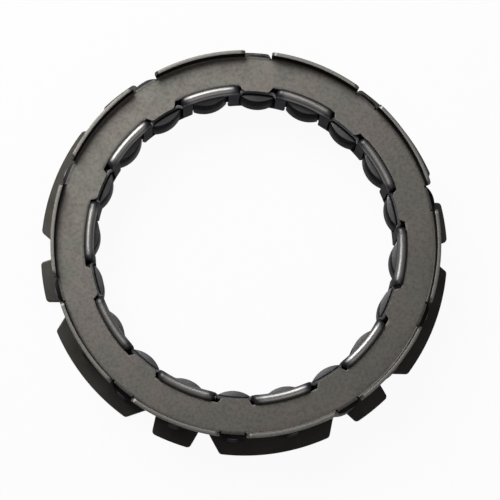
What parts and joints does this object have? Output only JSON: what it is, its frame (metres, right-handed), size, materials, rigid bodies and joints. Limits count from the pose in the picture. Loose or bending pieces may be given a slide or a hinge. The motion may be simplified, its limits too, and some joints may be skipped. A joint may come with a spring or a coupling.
{
  "type": "starter clutch",
  "caption": "Ring-shaped one-way sprag element of an engine starter clutch: two sheet-steel cages, a lipped side plate, a ribbon spring and a flange with keying tabs.",
  "frame": {"origin": "on the clutch axis, level with the back of the tabbed flange", "axes": "+Z along the clutch axis towards the side plate; +Y through the middle of sprag_01; +X to the right seen from the side plate"},
  "size_m": [0.0714, 0.0714, 0.0135],
  "materials": {
    "plate_steel": "dull warm grey sheet steel, faintly mottled",
    "cage_steel": "dark hardened sheet steel, finely brushed",
    "inner_cage_steel": "tumbled sheet steel, polished on the beads",
    "spring_steel": "bright spring steel",
    "sprag_steel": "ground and tumbled bearing steel, dark grey"
  },
  "bodies": {
    "outer_cage": {"outer_cage": "cage_steel", "front_side_plate": "plate_steel", "ribbon_spring": "spring_steel"},
    "inner_cage": {"inner_cage": "inner_cage_steel"},
    "sprag_01": {"sprag_01": "sprag_steel"},
    "sprag_02": {"sprag_02": "sprag_steel"},
    "sprag_03": {"sprag_03": "sprag_steel"},
    "sprag_04": {"sprag_04": "sprag_steel"},
    "sprag_05": {"sprag_05": "sprag_steel"},
    "sprag_06": {"sprag_06": "sprag_steel"},
    "sprag_07": {"sprag_07": "sprag_steel"},
    "sprag_08": {"sprag_08": "sprag_steel"},
    "sprag_09": {"sprag_09": "sprag_steel"},
    "sprag_10": {"sprag_10": "sprag_steel"},
    "sprag_11": {"sprag_11": "sprag_steel"},
    "sprag_12": {"sprag_12": "sprag_steel"},
    "sprag_13": {"sprag_13": "sprag_steel"},
    "sprag_14": {"sprag_14": "sprag_steel"},
    "sprag_15": {"sprag_15": "sprag_steel"},
    "sprag_16": {"sprag_16": "sprag_steel"},
    "sprag_17": {"sprag_17": "sprag_steel"},
    "sprag_18": {"sprag_18": "sprag_steel"},
    "sprag_19": {"sprag_19": "sprag_steel"},
    "sprag_20": {"sprag_20": "sprag_steel"}
  },
  "joints": [
    {"name": "inner_cage_turn", "type": "hinge", "parent": "outer_cage", "child": "inner_cage", "pos_m": [0, 0, 0.00555], "axis": [0, 0, 1], "range_deg": [-0.75, 2.25], "stiffness_Nm_per_rad": 0.02},
    {"name": "sprag_01_tilt", "type": "hinge", "parent": "outer_cage", "child": "sprag_01", "pos_m": [0, 0.03158, 0.00555], "axis": [0, 0, 1], "range_deg": [-10.2, 3.4]},
    {"name": "sprag_02_tilt", "type": "hinge", "parent": "outer_cage", "child": "sprag_02", "pos_m": [0.00976, 0.03003, 0.00555], "axis": [0, 0, 1], "range_deg": [-10.2, 3.4]},
    {"name": "sprag_03_tilt", "type": "hinge", "parent": "outer_cage", "child": "sprag_03", "pos_m": [0.01856, 0.02555, 0.00555], "axis": [0, 0, 1], "range_deg": [-10.2, 3.4]},
    {"name": "sprag_04_tilt", "type": "hinge", "parent": "outer_cage", "child": "sprag_04", "pos_m": [0.02555, 0.01856, 0.00555], "axis": [0, 0, 1], "range_deg": [-10.2, 3.4]},
    {"name": "sprag_05_tilt", "type": "hinge", "parent": "outer_cage", "child": "sprag_05", "pos_m": [0.03003, 0.00976, 0.00555], "axis": [0, 0, 1], "range_deg": [-10.2, 3.4]},
    {"name": "sprag_06_tilt", "type": "hinge", "parent": "outer_cage", "child": "sprag_06", "pos_m": [0.03158, 0, 0.00555], "axis": [0, 0, 1], "range_deg": [-10.2, 3.4]},
    {"name": "sprag_07_tilt", "type": "hinge", "parent": "outer_cage", "child": "sprag_07", "pos_m": [0.03003, -0.00976, 0.00555], "axis": [0, 0, 1], "range_deg": [-10.2, 3.4]},
    {"name": "sprag_08_tilt", "type": "hinge", "parent": "outer_cage", "child": "sprag_08", "pos_m": [0.02555, -0.01856, 0.00555], "axis": [0, 0, 1], "range_deg": [-10.2, 3.4]},
    {"name": "sprag_09_tilt", "type": "hinge", "parent": "outer_cage", "child": "sprag_09", "pos_m": [0.01856, -0.02555, 0.00555], "axis": [0, 0, 1], "range_deg": [-10.2, 3.4]},
    {"name": "sprag_10_tilt", "type": "hinge", "parent": "outer_cage", "child": "sprag_10", "pos_m": [0.00976, -0.03003, 0.00555], "axis": [0, 0, 1], "range_deg": [-10.2, 3.4]},
    {"name": "sprag_11_tilt", "type": "hinge", "parent": "outer_cage", "child": "sprag_11", "pos_m": [0, -0.03158, 0.00555], "axis": [0, 0, 1], "range_deg": [-10.2, 3.4]},
    {"name": "sprag_12_tilt", "type": "hinge", "parent": "outer_cage", "child": "sprag_12", "pos_m": [-0.00976, -0.03003, 0.00555], "axis": [0, 0, 1], "range_deg": [-10.2, 3.4]},
    {"name": "sprag_13_tilt", "type": "hinge", "parent": "outer_cage", "child": "sprag_13", "pos_m": [-0.01856, -0.02555, 0.00555], "axis": [0, 0, 1], "range_deg": [-10.2, 3.4]},
    {"name": "sprag_14_tilt", "type": "hinge", "parent": "outer_cage", "child": "sprag_14", "pos_m": [-0.02555, -0.01856, 0.00555], "axis": [0, 0, 1], "range_deg": [-10.2, 3.4]},
    {"name": "sprag_15_tilt", "type": "hinge", "parent": "outer_cage", "child": "sprag_15", "pos_m": [-0.03003, -0.00976, 0.00555], "axis": [0, 0, 1], "range_deg": [-10.2, 3.4]},
    {"name": "sprag_16_tilt", "type": "hinge", "parent": "outer_cage", "child": "sprag_16", "pos_m": [-0.03158, 0, 0.00555], "axis": [0, 0, 1], "range_deg": [-10.2, 3.4]},
    {"name": "sprag_17_tilt", "type": "hinge", "parent": "outer_cage", "child": "sprag_17", "pos_m": [-0.03003, 0.00976, 0.00555], "axis": [0, 0, 1], "range_deg": [-10.2, 3.4]},
    {"name": "sprag_18_tilt", "type": "hinge", "parent": "outer_cage", "child": "sprag_18", "pos_m": [-0.02555, 0.01856, 0.00555], "axis": [0, 0, 1], "range_deg": [-10.2, 3.4]},
    {"name": "sprag_19_tilt", "type": "hinge", "parent": "outer_cage", "child": "sprag_19", "pos_m": [-0.01856, 0.02555, 0.00555], "axis": [0, 0, 1], "range_deg": [-10.2, 3.4]},
    {"name": "sprag_20_tilt", "type": "hinge", "parent": "outer_cage", "child": "sprag_20", "pos_m": [-0.00976, 0.03003, 0.00555], "axis": [0, 0, 1], "range_deg": [-10.2, 3.4]}
  ],
  "couplings": [
    {"joint": "sprag_01_tilt", "follows": "inner_cage_turn", "ratio": -4.5113},
    {"joint": "sprag_02_tilt", "follows": "inner_cage_turn", "ratio": -4.5113},
    {"joint": "sprag_03_tilt", "follows": "inner_cage_turn", "ratio": -4.5113},
    {"joint": "sprag_04_tilt", "follows": "inner_cage_turn", "ratio": -4.5113},
    {"joint": "sprag_05_tilt", "follows": "inner_cage_turn", "ratio": -4.5113},
    {"joint": "sprag_06_tilt", "follows": "inner_cage_turn", "ratio": -4.5113},
    {"joint": "sprag_07_tilt", "follows": "inner_cage_turn", "ratio": -4.5113},
    {"joint": "sprag_08_tilt", "follows": "inner_cage_turn", "ratio": -4.5113},
    {"joint": "sprag_09_tilt", "follows": "inner_cage_turn", "ratio": -4.5113},
    {"joint": "sprag_10_tilt", "follows": "inner_cage_turn", "ratio": -4.5113},
    {"joint": "sprag_11_tilt", "follows": "inner_cage_turn", "ratio": -4.5113},
    {"joint": "sprag_12_tilt", "follows": "inner_cage_turn", "ratio": -4.5113},
    {"joint": "sprag_13_tilt", "follows": "inner_cage_turn", "ratio": -4.5113},
    {"joint": "sprag_14_tilt", "follows": "inner_cage_turn", "ratio": -4.5113},
    {"joint": "sprag_15_tilt", "follows": "inner_cage_turn", "ratio": -4.5113},
    {"joint": "sprag_16_tilt", "follows": "inner_cage_turn", "ratio": -4.5113},
    {"joint": "sprag_17_tilt", "follows": "inner_cage_turn", "ratio": -4.5113},
    {"joint": "sprag_18_tilt", "follows": "inner_cage_turn", "ratio": -4.5113},
    {"joint": "sprag_19_tilt", "follows": "inner_cage_turn", "ratio": -4.5113},
    {"joint": "sprag_20_tilt", "follows": "inner_cage_turn", "ratio": -4.5113}
  ]
}
